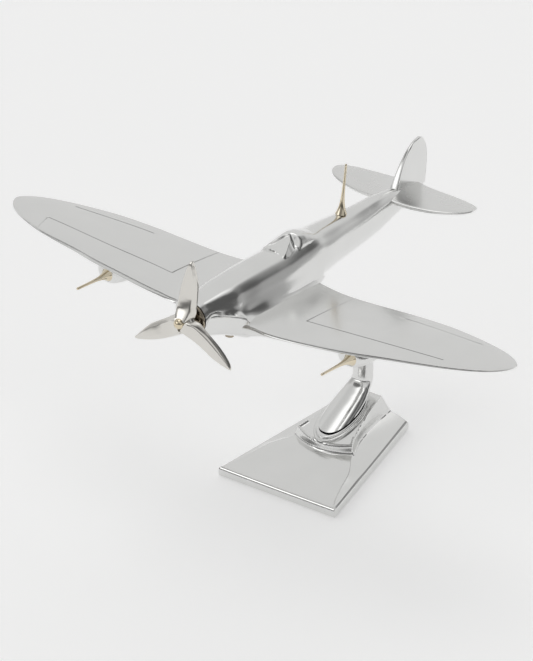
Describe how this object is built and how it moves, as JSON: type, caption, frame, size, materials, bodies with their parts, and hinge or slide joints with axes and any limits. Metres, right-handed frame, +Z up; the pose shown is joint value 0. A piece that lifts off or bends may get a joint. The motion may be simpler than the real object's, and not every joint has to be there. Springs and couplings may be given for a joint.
{
  "type": "aircraft desk model on stand",
  "caption": "Polished metal desk model of a single-seat low-wing fighter on a swept arm and tapered base, with a propeller that spins freely.",
  "frame": {"origin": "centre of the underside of the base", "axes": "+Z up, -Y towards the aircraft's nose and the wide end of the base, +X towards the aircraft's port wing tip"},
  "size_m": [0.4792, 0.3663, 0.285],
  "materials": {
    "airframe_metal": "polished",
    "stand_metal": "polished",
    "propeller_metal": "polished",
    "brass_fittings": "polished",
    "fasteners": "satin",
    "felt": "matte"
  },
  "bodies": {
    "root": {"base_casting": "stand_metal", "support_arm": "stand_metal", "wing_casting": "airframe_metal", "fuselage_casting": "airframe_metal", "pod_port": "airframe_metal", "pod_starboard": "airframe_metal", "tailplane": "airframe_metal", "fin": "airframe_metal", "nose_disc": "airframe_metal", "cannon_port": "brass_fittings", "cannon_starboard": "brass_fittings", "mast": "brass_fittings", "dome_nut": "brass_fittings", "arm_base_bolts": "fasteners", "arm_top_screws": "fasteners", "wing_screws": "fasteners", "pod_screws": "fasteners", "fin_dowel": "fasteners", "tail_screw": "fasteners", "prop_shaft": "fasteners", "rear_washer": "fasteners", "front_washer": "fasteners", "base_felt": "felt"},
    "propeller": {"propeller": "propeller_metal", "prop_bush": "brass_fittings"}
  },
  "joints": [
    {"name": "propeller_spin", "type": "hinge", "parent": "root", "child": "propeller", "pos_m": [0, -0.20279, 0.23271], "axis": [0, -0.9878, 0.1556], "continuous": true}
  ]
}
